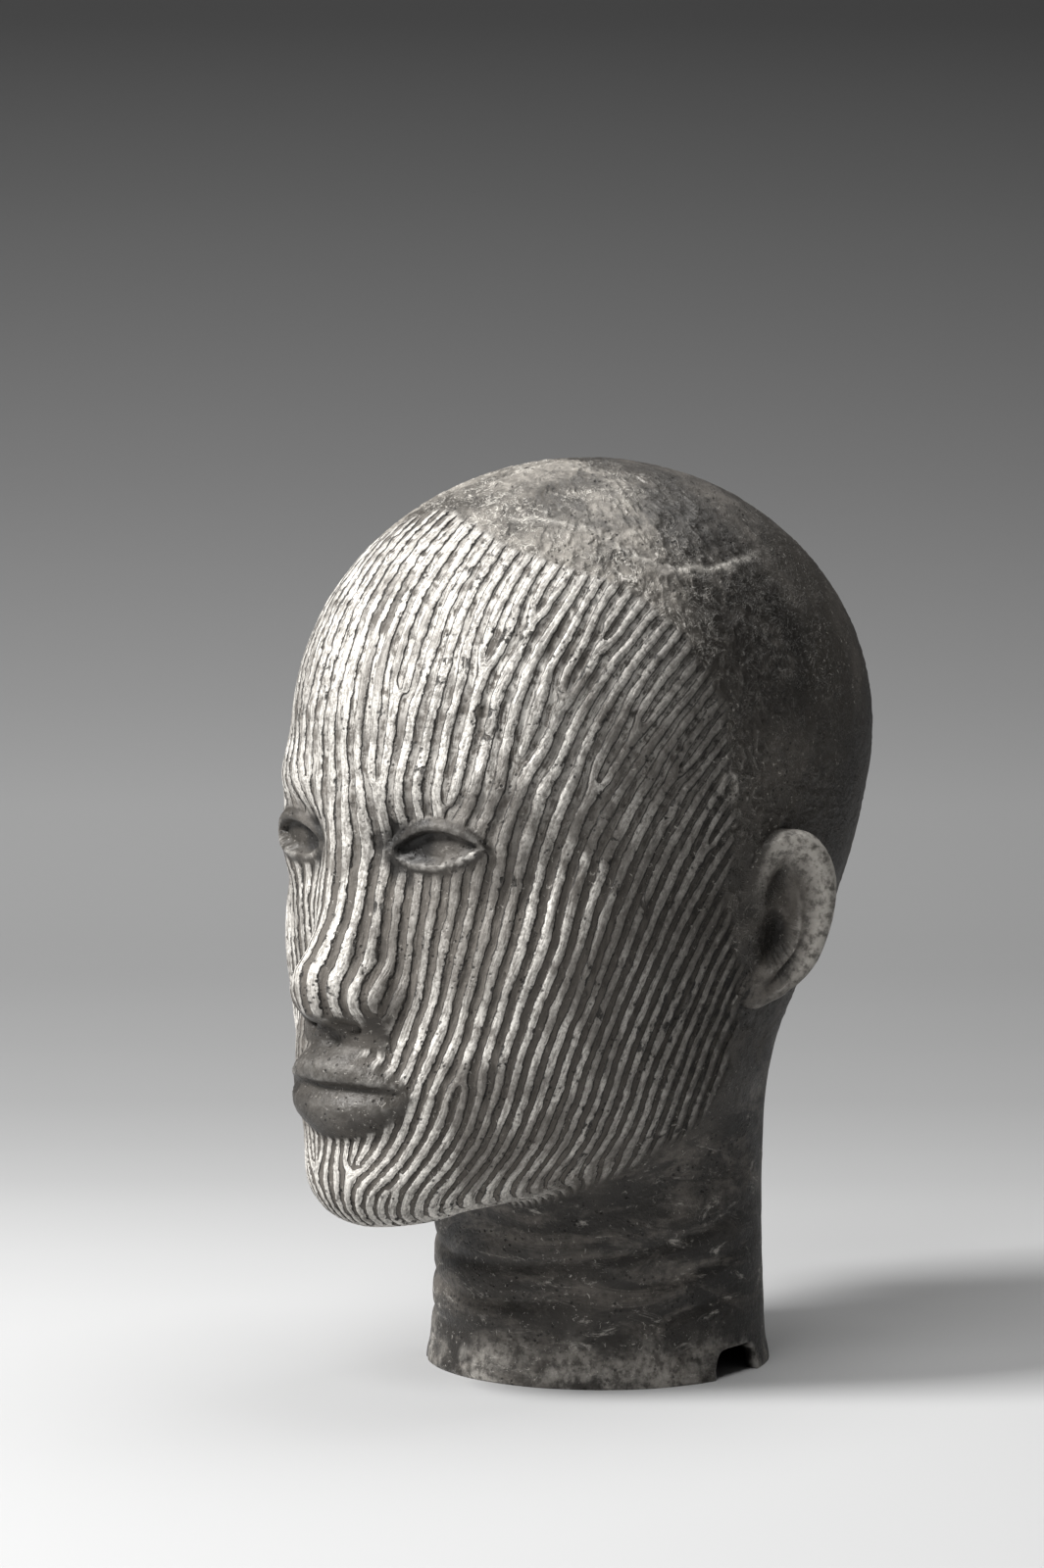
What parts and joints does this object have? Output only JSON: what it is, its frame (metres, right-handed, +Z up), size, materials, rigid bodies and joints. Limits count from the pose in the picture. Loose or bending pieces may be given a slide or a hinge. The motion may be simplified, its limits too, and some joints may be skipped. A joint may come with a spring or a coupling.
{
  "type": "cast bronze head sculpture",
  "caption": "Bald, calm head cast in bronze on its own open neck, hollow inside, with shaped ears, eyes and lips, folds round the neck and a gap in its rim.",
  "frame": {"origin": "centre of the object's box at the height of the surface that it stands on", "axes": "+Z up, the longest way, from the neck's rim to the crown; the face looks along -Y; +X to the figure's left, the shortest way"},
  "size_m": [0.1816, 0.2326, 0.2999],
  "materials": {
    "bronze": "dark grey-brown bronze patina, matt in the hollows, with pale rubbed ridges and a soft gloss on the crown"
  },
  "bodies": {
    "root": {"head": "bronze"}
  },
  "joints": []
}
